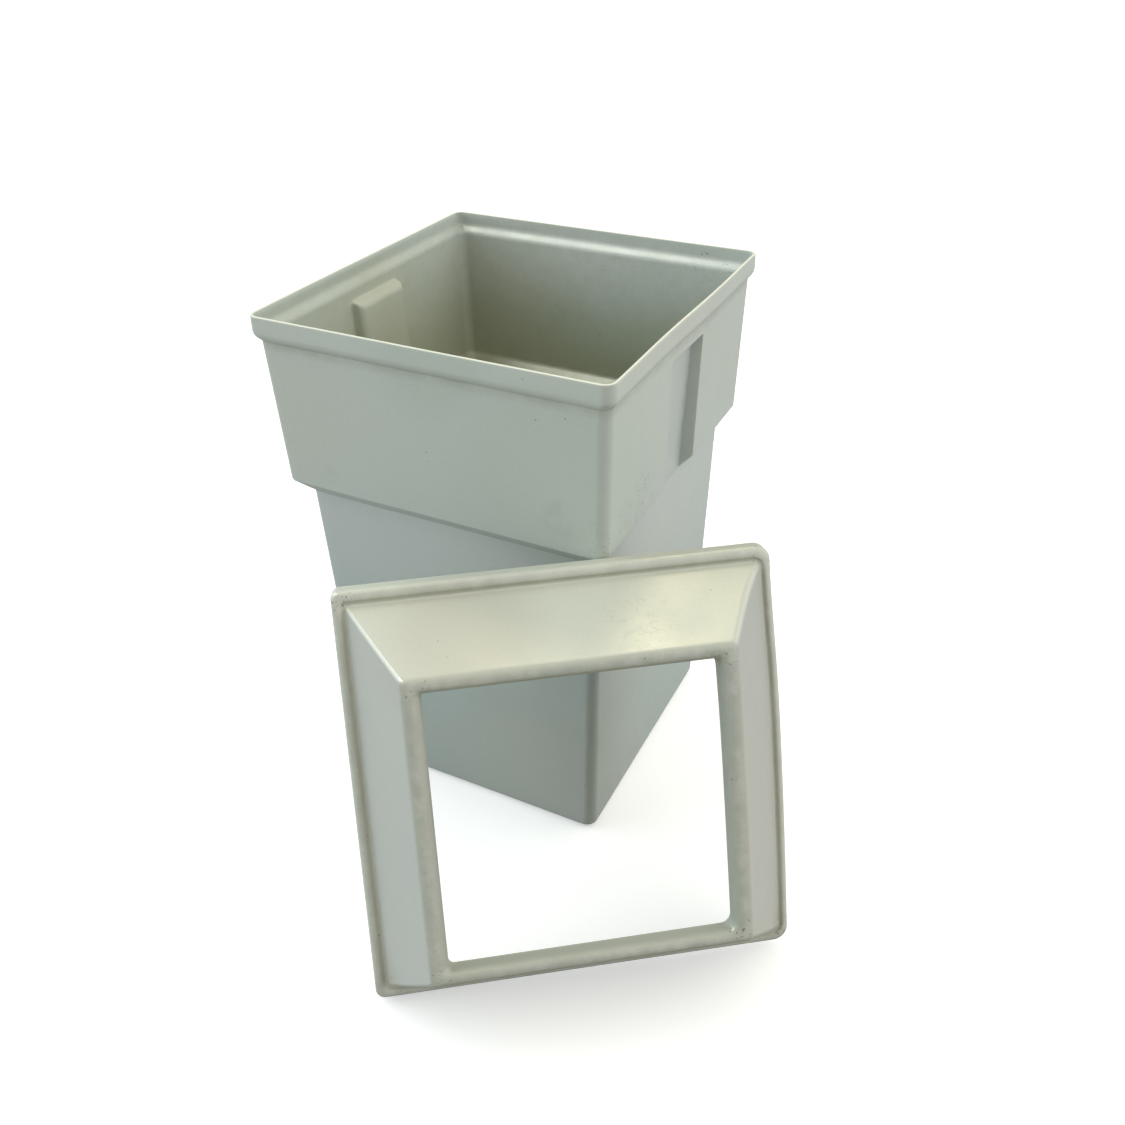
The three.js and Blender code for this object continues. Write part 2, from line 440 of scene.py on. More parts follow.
def slot_floor(z):
    """Half-width at a slot's floor: flush with the lower wall, then leaning out a little more."""
    draft = (BODY_TOP_HALF - BODY_BOTTOM_HALF) / LEDGE_BOTTOM_Z
    wall = BODY_TOP_HALF + draft * (z - LEDGE_BOTTOM_Z)
    return wall + max(0.0, z - SLOT_FLOOR_Z) * SLOT_EXTRA_DRAFT


def ledge_share(z):
    """1 at the ledge, falling smoothly to 0 well above and below it."""
    return math.exp(-((z - COLLAR_BOTTOM_Z) / LEDGE_LIFT_REACH) ** 2)


def sheet_wave(wall, along, z, height):
    """How far the thin walls stand proud of true flat, most at mid-wall. The +X wall also has
    the rim's S-shaped run."""
    across = along / COLLAR_TOP_HALF
    up = z / height
    phase = WALL_PHASE * wall
    wave = sum(share * np.sin(turn * across + lead * phase) * np.sin(rise * up + lag * phase)
               for share, turn, lead, rise, lag in WAVES)
    rim = np.exp(-((1 - up) / RIM_S_REACH) ** 2)
    s_curve = np.where(wall == 0, RIM_S_CURVE * np.sin(math.pi * across) * rim, 0)
    return np.clip(1 - across ** 2, 0, 1) * (WAVE_HEIGHT * wave + s_curve)


def body_surface(rows, slot_share, edge, inner, height):
    """Rows of points over one side of the mould body's sheet, and the numbers they carry."""
    grids, traits = [], {"corner": [], "depth": [], "pale": [], "edge": []}
    marks = wall_marks(edge)
    for (half, z, radius), share_up in zip(rows, slot_share):
        flat, wall, along, into = outline([half] * 4, [radius] * 4, marks)
        floor = slot_floor(z) - (SHEET if inner else 0)
        depth = max(0.0, half - floor) if z > LEDGE_BOTTOM_Z - SLOT_RUN_OUT else 0.0
        share = np.clip(1 - np.hypot(1 - slot_across(along, edge), 1 - share_up), 0, 1)
        share = np.where((wall % 2 == 0) & (into == 0), share, 0)
        move = sheet_wave(wall, along, z, height) - share * depth
        heading = 0.5 * math.pi * wall
        flat = flat + np.stack([np.cos(heading), np.sin(heading)], axis=1) * move[:, None]
        lift = LEDGE_LIFT * (1 + flat[:, 1] / COLLAR_TOP_HALF) * ledge_share(z)
        grids.append(np.column_stack([flat, z + lift]))

        turn = (np.arctan2(flat[:, 1], flat[:, 0]) / (0.5 * math.pi)) % 4
        deep_shade_top = np.interp(turn, range(5), DEEP_SHADE_TOPS)
        if inner:
            # Painted light on the inside's top, strongest on the +Y wall
            facing = np.interp(turn, range(5), INNER_PAINTED_LIGHT)
            rise = (z / height - INNER_PAINTED_LIGHT_FROM) / (INNER_PAINTED_LIGHT_FULL - INNER_PAINTED_LIGHT_FROM)
            pale = facing * np.clip(rise, 0, 1)
            line = np.zeros(len(flat))
        else:
            in_slot = depth > SLOT_SHALLOWEST
            rise = (z - PALE_FROM) / (LEDGE_BOTTOM_Z - PALE_FROM)
            below = np.clip(rise, 0, 1) * (z < LEDGE_BOTTOM_Z)
            # Paler towards the ledge, and painted light on the slots' floors against their shade
            pale = np.maximum(below, SLOT_PAINTED_LIGHT * share * in_slot)
            # A pale line along the slot's edge: wear and a painted highlight
            line = np.exp(-((share - SLOT_EDGE_SHARE) / SLOT_EDGE_SPREAD) ** 2) * in_slot
        traits["corner"].append(into)
        # How far down the inside's painted shade a point is
        traits["depth"].append((deep_shade_top - z / height) / (deep_shade_top - DEEP_SHADE_BOTTOM))
        traits["pale"].append(pale)
        traits["edge"].append(line)
    return grids, traits


def body_side(base_z, corners, bends, top):
    """The path over one side of the vessel's sheet, from the middle of its base to its rim."""
    path = [((BASE_MIDDLE_HALF, base_z, BASE_MIDDLE_CORNER), 0, BASE_STEPS)]
    path += [(corner, radius, steps) for corner, (radius, steps) in zip(corners, bends)]
    return rounded_path(path + [(top, 0, 1)], closed=False)


def make_mould_body():
    low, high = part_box("mould_body")
    rim_half = high.x / MM
    height = (high.z - low.z) / MM
    inner_lip = rim_half - SHEET
    lip_corner = BODY_CORNER - SHEET
    outside = [
        (BODY_BOTTOM_HALF, 0),
        (BODY_TOP_HALF, LEDGE_BOTTOM_Z),
        (COLLAR_BOTTOM_HALF, COLLAR_BOTTOM_Z),
        (COLLAR_TOP_HALF, COLLAR_TOP_Z),
        (rim_half, height - LIP_HEIGHT),
    ]
    inside = [
        *offset_left([(0, 0)] + outside, SHEET)[1:4],
        (COLLAR_TOP_HALF - SHEET, height - COVE_BOTTOM_DROP),
        (inner_lip, height - COVE_TOP_DROP),
    ]
    outer_path = body_side(0, [(*place, BODY_CORNER) for place in outside], OUTER_BENDS,
                           (rim_half, height, BODY_CORNER))
    inner_path = body_side(SHEET, [(*place, INNER_CORNER) for place in inside], INNER_BENDS,
                           (inner_lip, height, lip_corner))
    rim_start = height - RIM_SHARE * LIP_HEIGHT
    rim_path = rounded_path([
        ((rim_half, rim_start, BODY_CORNER), 0, 2),
        ((rim_half, height, BODY_CORNER), TRIM_ROUND, 3),
        ((inner_lip, height, lip_corner), TRIM_ROUND, 2),
        ((inner_lip, rim_start, lip_corner), 0, 1),
    ], closed=False)[1:-1]
    outer_path = outer_path[outer_path[:, 1] < rim_start]
    inner_path = inner_path[inner_path[:, 1] < rim_start]

    outer_edge = slot_edge(*OUTER_SLOT_ROUNDS, 0)
    inner_edge = slot_edge(*INNER_SLOT_ROUNDS, SHEET)
    outer_rows, outer_share = add_slot_rows(outer_path, outer_edge)
    inner_rows, inner_share = add_slot_rows(inner_path, inner_edge)
    parts = [
        body_surface(outer_rows, outer_share, outer_edge, False, height),
        body_surface(rim_path, np.zeros(len(rim_path)), outer_edge, False, height),
        body_surface(inner_rows[::-1], inner_share[::-1], inner_edge, True, height),
    ]
    grid = [row for rows, _ in parts for row in rows]
    columns = len(grid[0])
    traits = {key: np.concatenate([row for _, carried in parts for row in carried[key]])
              for key in parts[0][1]}
    traits["inside"] = np.repeat([0.0, 0.0, 1.0], [len(rows) * columns for rows, _ in parts])
    path = np.vstack([outer_rows, rim_path, inner_rows[::-1]])
    by_row = {
        "crease": nearness(path, [outside[0], outside[2], outside[4]], BODY_CREASE_REACH),
        # Dirt and painted shade in the bend under the lip
        "hollow": nearness(path, [outside[3]], BODY_HOLLOW_REACH),
        "trim": nearness(path, [(rim_half - SHEET / 2, height)], BODY_TRIM_REACH),
        "crest_shade": np.zeros(len(path)),
    }
    traits.update({key: np.repeat(values, columns) for key, values in by_row.items()})

    points = np.vstack([*grid, [(0, 0, 0), (0, 0, SHEET)]])
    under_middle, floor_middle = len(points) - 2, len(points) - 1
    last_row = under_middle - columns
    faces = grid_faces(len(grid), columns, closed=False)
    for column in range(columns):
        beside = (column + 1) % columns
        faces.append((under_middle, beside, column))
        faces.append((floor_middle, last_row + column, last_row + beside))
    traits = {key: np.append(values, values[[0, -1]]) for key, values in traits.items()}
    return make_piece("mould_body_formed", points, faces, traits)


# ---------------------------------------------------------------- top frame

def frame_place(record):
    """Where the frame's back stands: its foot, and its along, up and outward directions."""
    mount = next(m for m in record["mounts"] if m["name"] == "frame_back_edge")
    joint = next(j for j in record["behaviour"]["joints"] if j["name"] == "frame_away")
    outward = -Vector(mount["axis"]).normalized()
    level = Vector(joint["axis"]).normalized()
    across = Vector((-level.y, level.x, 0))
    upright = outward.cross(across)
    along = across * math.cos(FRAME_TILT) + upright * math.sin(FRAME_TILT)
    up = upright * math.cos(FRAME_TILT) - across * math.sin(FRAME_TILT)
    foot = Vector(mount["pos_m"]) - up * (0.5 * SHEET * MM)
    return foot, along, up, outward


def crest_apex(groove):
    """Where the sloped face and the return would meet if the crest weren't rounded."""
    centre = np.array([CREST_INSET, CREST_HEIGHT - CREST_ROUND])
    reach = centre - groove
    length = np.linalg.norm(reach)
    slope = math.atan2(reach[1], reach[0]) + math.asin(CREST_ROUND / length)
    climb = np.array([math.cos(slope), math.sin(slope)])
    side = centre + (CREST_ROUND, 0)
    fall = np.array([RETURN_DRAFT, -RETURN_DEPTH])
    along, _ = np.linalg.solve(np.column_stack([climb, -fall]), side - groove)
    return tuple(groove + climb * along)


def frame_section():
    """The closed path across one side: the front from skirt to aperture, and the back again.
    Values are inset, height, shares of the flange's and the crest's own moves, and the four
    corner radii. The second result is the front's corners as (inset, height)."""
    groove = (FLANGE.mean(), GROOVE_HEIGHT)
    aperture = (CREST_INSET + CREST_ROUND + RETURN_DRAFT, CREST_HEIGHT - CREST_ROUND - RETURN_DEPTH)
    # Place, flange share, crest share, corner radii, bend in front, bend behind, steps
    rows = [
        ((0, 0), 0, 0, OUTER_CORNERS, TRIM_ROUND, TRIM_ROUND, 6),
        ((0, SKIRT_DEPTH), 0, 0, OUTER_CORNERS, BEAD_ROUND, BEAD_ROUND - SHEET, 1),
        ((BEAD_CROWN, SKIRT_DEPTH), 0.5, 0, OUTER_CORNERS,
         BEAD_FALL_ROUND, BEAD_FALL_ROUND - SHEET, 2),
        ((groove[0] - VALLEY_WIDTH, GROOVE_HEIGHT), 1, 0, HIP_CORNERS,
         VALLEY_ROUND, VALLEY_ROUND - SHEET, 1),
        (groove, 1, 0, HIP_CORNERS, GROOVE_ROUND, GROOVE_BACK_ROUND, 28),
        (crest_apex(np.array(groove)), 0, 1, CREST_CORNERS, CREST_ROUND, CREST_ROUND - SHEET, 4),
        (aperture, 0, APERTURE_SHARE, APERTURE_CORNERS, TRIM_ROUND, TRIM_ROUND, 1),
    ]
    front = [row[0] for row in rows]
    corners = [((*place, flange, crest, *radii), bend, steps)
               for place, flange, crest, radii, bend, _, steps in rows]
    behind = offset_left(front, -SHEET)
    for i in reversed(range(len(rows))):
        _, flange, crest, radii, _, bend, _ = rows[i]
        radii = [max(radius - SHEET / 2, SMALLEST_BACK_CORNER) for radius in radii]
        corners.append(((*behind[i], flange, crest, *radii), bend, rows[i - 1][-1]))
    return rounded_path(corners, closed=True), front


def fade(values, middle, width):
    """0 to 1 over this width, centred on the middle."""
    return np.clip((values - middle) / width + 0.5, 0, 1)


def frame_crest_shade(path, groove):
    """Painted shade: 1 on the crest and the return, a little on the bead, and 0 on the sloped face.
    """
    bead = 1 - fade(path[:, 0], groove[0], BEAD_FADE)
    crest = fade(path[:, 0], CREST_INSET - CREST_ROUND + CREST_FADE, CREST_FADE)
    return np.maximum(BEAD_SHADE * bead, crest)


def frame_warp(flat, half, climb):
    """How far the formed frame strays from true. climb is the height up the sloped face, 0 to 1.
    The sinking slope bends the mitre beside it."""
    across, upward = flat[:, 0] / half, flat[:, 1] / half
    right = RIGHT_BOW - RIGHT_BOW_FALL * (upward - RIGHT_BOW_MIDDLE) ** 2
    left = -LEFT_BOW * (1 - upward)
    bow = np.where(across > 0, right, left) * np.clip(np.abs(across), 0, 1) ** 2
    to_mitre = np.hypot(flat[:, 0] - MITRE_PLACE * half, flat[:, 1] - MITRE_PLACE * half)
    sink = MITRE_SINK * math.sin(math.pi * climb ** MITRE_SKEW) + MITRE_START * (1 - climb) ** 2
    bow = bow - sink * np.exp(-(to_mitre / MITRE_REACH) ** 2)
    lift = (FOOT_LIFT - FOOT_TILT * across) * np.exp(-((1 + upward) / FOOT_REACH) ** 2)
    return np.column_stack([bow, lift])


def make_top_frame():
    foot, along, up, outward = frame_place(frame["record"])
    node = frame["nodes"]["top_frame"]
    half = max((vertex.co - foot).dot(along) for vertex in node.data.vertices) / MM
    path, front = frame_section()
    valley, groove = front[3:5]
    grids, corner = [], []
    for row in path:
        inset, height, flange_share, crest_share = row[:4]
        climb = np.clip((height - GROOVE_HEIGHT) / (CREST_HEIGHT - GROOVE_HEIGHT), 0, 1)
        insets = inset + flange_share * (FLANGE - FLANGE.mean()) + crest_share * CREST_SHIFT
        insets = insets - SLOPE_BULGE * math.sin(math.pi * climb)
        flat, _, _, into = outline(half - insets, row[4:],
                                   lambda start, end: np.linspace(start, end, FRAME_SIDE_POINTS))
        flat = flat + frame_warp(flat, half, climb)
        place = (flat[:, :1] * np.array(along) + (flat[:, 1:] + half) * np.array(up)
                 + height * np.array(outward) + np.array(foot) / MM)
        grids.append(place)
        corner.append(into)
    columns = len(grids[0])
    bead, crest = (BEAD_MIDDLE, SKIRT_DEPTH), (CREST_INSET, CREST_HEIGHT)
    trimmed = [(SHEET / 2, 0), (front[-1][0] - SHEET / 2, front[-1][1])]
    by_row = {
        "crease": nearness(path, [bead, crest], FRAME_CREASE_REACH),
        # Dirt and painted shade in the valley before the groove
        "hollow": nearness(path, [valley], FRAME_HOLLOW_REACH) * (path[:, 0] < groove[0]),
        "trim": nearness(path, trimmed, FRAME_TRIM_REACH),
        "inside": np.arange(len(path)) > len(path) // 2,
        "depth": 1 - path[:, 1] / CREST_HEIGHT,
        "pale": path[:, 0] < groove[0] + PALE_OVERLAP,
        # A painted highlight at the foot of the sloped face
        "edge": FRAME_EDGE_STRENGTH * nearness(path, [groove], FRAME_EDGE_REACH),
        # Painted shade on the crest and return
        "crest_shade": frame_crest_shade(path, groove),
    }
    traits = {key: np.repeat(values, columns) for key, values in by_row.items()}
    traits["corner"] = np.concatenate(corner)
    faces = grid_faces(len(path), columns, closed=True)
    return make_piece("top_frame_formed", np.vstack(grids), faces, traits)


# ---------------------------------------------------------------- materials

MIX_FACTOR, MIX_A, MIX_B, MIX_RESULT = 0, 6, 7, 2  # the colour sockets of Blender's Mix node

# Patchy masks: a noise's scale, detail and roughness, and its values that give 0 and 1
PATTERNS = {
    "mottle": (4.0, 2.0, 0.45, 0.35, 0.65),
    "patches": (17.0, 3.0, 0.5, 0.3, 0.7),
    "dirt_and_shade": (30.0, 4.0, 0.6, 0.15, 0.7),
    "inner_grain": (75.0, 5.0, 0.7, 0.3, 0.75),
    "stains": (45.0, 5.0, 0.65, 0.35, 0.7),
    "rubbed": (55.0, 4.0, 0.6, 0.35, 0.7),
    "speckled": (38.0, 2.0, 0.5, 0.45, 0.57),
    "crowded": (60.0, 2.0, 0.5, 0.42, 0.52),
    "stray": (9.0, 3.0, 0.5, 0.5, 0.62),
    "broken": (120.0, 3.0, 0.6, 0.45, 0.6),
    "scuffed": (7.0, 2.0, 0.5, 0.52, 0.66),
}
# Small marks: a cell pattern's scale, and the distances in a cell that give 0 and 1
SPECK_CELLS = (200.0, 0.30, 0.14)
STRAY_CELLS = (60.0, 0.075, 0.045)
SCRATCH_CELLS = (85.0, 0.075, 0.02)
# How strongly each layer shows, where both pieces have the same
LAYERS = {
    "patches": 0.18,
    # Painted shade on the frame's crest
    "crest_shade": 0.8,
    # Handling marks and painted shade
    "handling_and_shade": 0.85,
    "inner_grain": 0.25,
    "stains": 0.5,
    "rubbed": 0.3,
    # Pale lines of wear and painted highlight
    "edge": 0.7,
    "trim": 0.85,
    "specks": 0.75,
    "stray": 0.5,
    "scratches": 0.6,
    "scuff": 0.22,
}
# How fast the wear and painted highlight on a hip fall off to its sides, and what the bead and
# flange lose of them
HIP_SHARPNESS = 3.0
FLANGE_HIP_LINE_LOSS = 0.7
# How much of a rubbed corner every place counts as for specks, and how much gives them in full
SPECKS_ANYWHERE = 0.06
SPECKS_IN_FULL = 0.5
# The upward part of a surface's direction, for the painted light on upper faces and the painted
# shade on undersides
PAINTED_TOP_LIGHT_TILT = (0.45, 0.95)
UNDERSIDE_SHADE_TILT = (0.05, -0.35)
# A mark's place counts in full within this share of its reach
NEAR_CORE = 0.3
# A noise that bends the speck and scratch patterns, and how far in metres
BEND_SCALE = 70.0
BEND_REACH = 0.03
# Other noises: scale, detail and roughness
GRAIN_NOISE = (900.0, 2.0, 0.6)
PEEL_NOISE = (150.0, 3.0, 0.55)
ROUGH_NOISE = (26.0, 4.0, 0.6)
DRAG_NOISE = (60.0, 4.0, 0.65)
# The scuffs' noise is drawn out along one direction, and gives 0 and 1 at these values
DRAG_STRETCH = (1.0, 1.0, 14.0)
DRAG_TURN = (0.5, 0.3, 0.2)
DRAG_MARKS = (0.66, 0.76)
# Most of a noise's values are between these
NOISE_RANGE = (0.3, 0.7)
GRAIN_SHADES = (0.955, 1.045)
ROUGHER = 0.06
SMOOTHER = 0.05
WORN_ROUGHNESS = 0.2
RELIEF = {"grain": 0.35, "peel": 0.65, "scuff": 0.3, "scratches": 0.5}
BUMP_STRENGTH = 0.35
BUMP_DEPTH = 0.0006
PLASTIC_IOR = 1.5


class Nodes:
    """Adds shader nodes to one tree and joins them."""

    def __init__(self, tree):
        self.tree = tree

    def add(self, kind, inputs=None, **settings):
        node = self.tree.nodes.new(kind)
        for key, value in settings.items():
            setattr(node, key, value)
        for key, value in (inputs or {}).items():
            self.put(node.inputs[key], value)
        return node

    def put(self, socket, value):
        if isinstance(value, bpy.types.NodeSocket):
            self.tree.links.new(value, socket)
        else:
            socket.default_value = value

    def trait(self, name):
        return self.add("ShaderNodeAttribute", attribute_name=name).outputs["Fac"]

    def place(self):
        return self.add("ShaderNodeTexCoord").outputs["Object"]

    def stretched(self, scale, turn):
        inputs = {"Vector": self.place(), "Scale": scale, "Rotation": turn}
        return self.add("ShaderNodeMapping", inputs).outputs["Vector"]

    def noise(self, scale, detail, roughness, vector=None):
        inputs = {"Scale": scale, "Detail": detail, "Roughness": roughness,
                  "Vector": vector or self.place()}
        return self.add("ShaderNodeTexNoise", inputs).outputs["Fac"]

    def between(self, value, low, high):
        """0 at low, 1 at high, smooth in between. high may be the smaller."""
        node = self.add("ShaderNodeMapRange", {"Value": value, "From Min": low, "From Max": high},
                        interpolation_type="SMOOTHSTEP")
        return node.outputs["Result"]

    def spread(self, noise, low, high):
        """Takes a noise's usual range to low and high."""
        inputs = {"Value": noise, "From Min": NOISE_RANGE[0], "From Max": NOISE_RANGE[1],
                  "To Min": low, "To Max": high}
        return self.add("ShaderNodeMapRange", inputs).outputs["Result"]

    def pattern(self, name):
        scale, detail, roughness, low, high = PATTERNS[name]
        return self.between(self.noise(scale, detail, roughness), low, high)

    def cells(self, vector, scale, start, full, feature="F1"):
        """Marks in the middles of a cell pattern, or along the cells' edges."""
        node = self.add("ShaderNodeTexVoronoi", {"Vector": vector, "Scale": scale},
                        feature=feature)
        return self.between(node.outputs["Distance"], start, full)

    def near(self, place, reach):
        """1 at a place given in millimetres, falling to 0 at the reach."""
        centre = tuple(value * MM for value in place)
        node = self.add("ShaderNodeVectorMath", {0: self.place(), 1: centre}, operation="DISTANCE")
        return self.between(node.outputs["Value"], reach * MM, NEAR_CORE * reach * MM)

    def near_any(self, marks):
        """The most that any of the marks' places gives."""
        result, *others = [self.near(place, reach) for place, reach in marks]
        for value in others:
            result = self.math("MAXIMUM", result, value)
        return result

    def math(self, operation, a, b=0.0):
        node = self.add("ShaderNodeMath", {0: a, 1: b}, operation=operation)
        return node.outputs["Value"]

    def times(self, *values):
        result = values[0]
        for value in values[1:]:
            result = self.math("MULTIPLY", result, value)
        return result

    def without(self, value):
        return self.math("SUBTRACT", 1.0, value)

    def mix(self, factor, a, b):
        node = self.add("ShaderNodeMix", {MIX_FACTOR: factor, MIX_A: a, MIX_B: b},
                        data_type="RGBA")
        return node.outputs[MIX_RESULT]


def rgb(r, g, b):
    return (r, g, b, 1.0)


def sheet_plastic(name, tones):
    """Satin formed plastic. Layers of tone go on in turn: mottling, depth with painted shade and
    paleness with painted light, painted light on upper faces, painted shade on the crest, handled
    places with painted shade, dirt with painted shade, wear with painted highlights and trimmed
    edges, then specks, scratches and scuffs."""
    material = bpy.data.materials.new(name)
    material.use_nodes = True
    tree = material.node_tree
    tree.nodes.clear()
    n = Nodes(tree)
    inside = n.trait("inside")
    facing = n.add("ShaderNodeTexCoord").outputs["Normal"]
    upward = n.add("ShaderNodeSeparateXYZ", {"Vector": facing}).outputs["Z"]

    colour = n.mix(n.pattern("mottle"), tones["cool"], tones["warm"])
    patches = n.times(n.pattern("patches"), LAYERS["patches"])
    colour = n.mix(patches, colour, tones["patch"])
    # Painted shade, in an olive tint, deeper in the vessel; on the frame, darker low on its rear
    # side
    depth = n.between(n.trait("depth"), 0.0, 1.0)
    colour = n.mix(n.times(inside, depth, tones["depth_strength"]), colour, tones["deep"])
    # A paler tone, and painted light on the top of the vessel's inside and on the slots' floors
    colour = n.mix(n.times(n.trait("pale"), tones["pale_strength"]), colour, tones["pale"])
    # Painted light on upward faces, in a cream tint
    painted_top_light = n.times(n.between(upward, *PAINTED_TOP_LIGHT_TILT), n.without(inside))
    colour = n.mix(n.times(painted_top_light, tones["painted_top_light_strength"]), colour, tones["painted_top_light"])
    # Painted shade on the frame's crest and return
    colour = n.mix(n.times(n.trait("crest_shade"), LAYERS["crest_shade"]), colour, tones["crest_shade"])
    # Darker places: handling marks, and painted shade towards the body's near corner
    handling_and_shade = n.times(n.near_any(tones["handling_and_shade"]), LAYERS["handling_and_shade"])
    colour = n.mix(handling_and_shade, colour, tones["handling_and_shade_tone"])

    # Painted shade on undersides
    underside_shade = n.times(n.between(upward, *UNDERSIDE_SHADE_TILT), tones["underside_shade_strength"])
    colour = n.mix(underside_shade, colour, tones["dirt_and_shade"])
    # Dirt and painted shade in inward bends
    hollow = n.times(n.trait("hollow"), n.pattern("dirt_and_shade"), tones["hollow_strength"])
    colour = n.mix(hollow, colour, tones["dirt_and_shade"])
    # Painted shade in the body's upright corners
    corners = n.times(n.trait("corner"), tones["corner_shade"], n.without(inside))
    colour = n.mix(corners, colour, tones["dirt_and_shade"])
    inner_grain = n.times(n.pattern("inner_grain"), inside, LAYERS["inner_grain"])
    colour = n.mix(inner_grain, colour, tones["deep"])
    if "stains" in tones:
        stains = n.times(n.near_any(tones["stains"]), n.pattern("stains"), LAYERS["stains"])
        colour = n.mix(stains, colour, tones["stain"])

    # Pale marks: wear on outward bends, wear and a painted highlight on the hips, and a painted
    # highlight along the edge lines
    rubbed = n.times(n.trait("crease"), n.pattern("rubbed"), LAYERS["rubbed"])
    hips = n.times(n.math("POWER", n.trait("corner"), HIP_SHARPNESS), n.without(n.trait("crest_shade")),
                   n.without(n.times(n.trait("pale"), FLANGE_HIP_LINE_LOSS)), tones["hip_wear_and_highlight"])
    pale_marks = n.math("MAXIMUM", rubbed, hips)
    pale_marks = n.math("MAXIMUM", pale_marks, n.times(n.trait("edge"), LAYERS["edge"]))
    colour = n.mix(pale_marks, colour, tones["rubbed"])
    colour = n.mix(n.times(n.trait("trim"), LAYERS["trim"]), colour, tones["trim"])

    bend = n.add("ShaderNodeTexNoise", {"Vector": n.place(), "Scale": BEND_SCALE})
    bend = n.add("ShaderNodeVectorMath", {0: bend.outputs["Color"], "Scale": BEND_REACH},
                 operation="SCALE")
    bent = n.add("ShaderNodeVectorMath", {0: n.place(), 1: bend.outputs[0]}).outputs[0]
    corners = n.math("MAXIMUM", n.times(n.trait("crease"), n.trait("corner")), SPECKS_ANYWHERE)
    specks_at = n.times(n.pattern("speckled"), n.between(corners, 0.0, SPECKS_IN_FULL))
    crowded = n.times(n.near_any(tones["specks"]), n.pattern("crowded"))
    specks_at = n.math("MAXIMUM", specks_at, crowded)
    specks = n.times(n.cells(bent, *SPECK_CELLS), specks_at, LAYERS["specks"])
    stray = n.times(n.cells(n.place(), *STRAY_CELLS), n.pattern("stray"), LAYERS["stray"])
    colour = n.mix(n.math("MAXIMUM", specks, stray), colour, tones["speck"])

    lines = n.cells(bent, *SCRATCH_CELLS, feature="DISTANCE_TO_EDGE")
    scratches = n.times(lines, n.pattern("broken"), n.near_any(tones["scratches"]))
    colour = n.mix(n.times(scratches, LAYERS["scratches"]), colour, tones["scratch"])

    drag = n.noise(*DRAG_NOISE, n.stretched(DRAG_STRETCH, DRAG_TURN))
    scuff = n.times(n.between(drag, *DRAG_MARKS), n.pattern("scuffed"))
    colour = n.mix(n.times(scuff, LAYERS["scuff"]), colour, tones["rubbed"])

    grain = n.noise(*GRAIN_NOISE)
    grained = n.add("ShaderNodeVectorMath", {0: colour, "Scale": n.spread(grain, *GRAIN_SHADES)},
                operation="SCALE")

    rough = n.spread(n.noise(*ROUGH_NOISE), tones["rough"] - SMOOTHER, tones["rough"] + ROUGHER)
    pale_marks = n.math("MAXIMUM", scuff, n.trait("trim"))
    rough = n.math("ADD", rough, n.times(pale_marks, WORN_ROUGHNESS))

    peel = n.noise(*PEEL_NOISE)
    relief = n.math("ADD", n.times(grain, RELIEF["grain"]), n.times(peel, RELIEF["peel"]))
    relief = n.math("SUBTRACT", relief, n.times(scuff, RELIEF["scuff"]))
    relief = n.math("SUBTRACT", relief, n.times(scratches, RELIEF["scratches"]))
    bump = n.add("ShaderNodeBump", {"Height": relief, "Strength": BUMP_STRENGTH,
                                    "Distance": BUMP_DEPTH})

    surface = n.add("ShaderNodeBsdfPrincipled", {
        "Base Color": grained.outputs["Vector"],
        "Roughness": rough,
        "IOR": PLASTIC_IOR,
        "Normal": bump.outputs["Normal"],
    })
    n.add("ShaderNodeOutputMaterial", {"Surface": surface.outputs["BSDF"]})
    return material


# Marks of use, and places of painted shade: (place in millimetres, reach)
BODY_STAINS = (
    ((140, -190, 430), 32),
    ((174, -190, 422), 22),
    ((-129, -189, 414), 16),
)
# Handling marks, and painted shade towards the near corner
BODY_HANDLING_AND_SHADE = (
    ((140, -198, 470), 170),
    ((15, -200, 574), 100),
)
BODY_SPECKS = (
    ((186, -189, 405), 26),
    ((0, -189, 413), 12),
    ((150, 188, 562), 40),
)
BODY_SCRATCHES = (
    ((190, -105, 420), 45),
    ((190, -153, 422), 30),
    ((196, 52, 554), 20),
    ((160, 5, 58), 38),
)
FRAME_SPECKS = (
    ((-9, -340, 391), 20),
    ((320, -116, 398), 24),
    ((100, -386, 359), 22),
    ((325, -232, 364), 20),
    ((148, -453, 100), 18),
    ((375, -297, 108), 20),
    ((67, -438, 10), 26),
    ((397, -213, 18), 26),
)
FRAME_HANDLED = (
    ((110, -318, 371), 100),
    ((67, -438, 10), 60),
    ((397, -213, 18), 50),
)
FRAME_SCRATCHES = (
    ((243, -234, 377), 60),
)


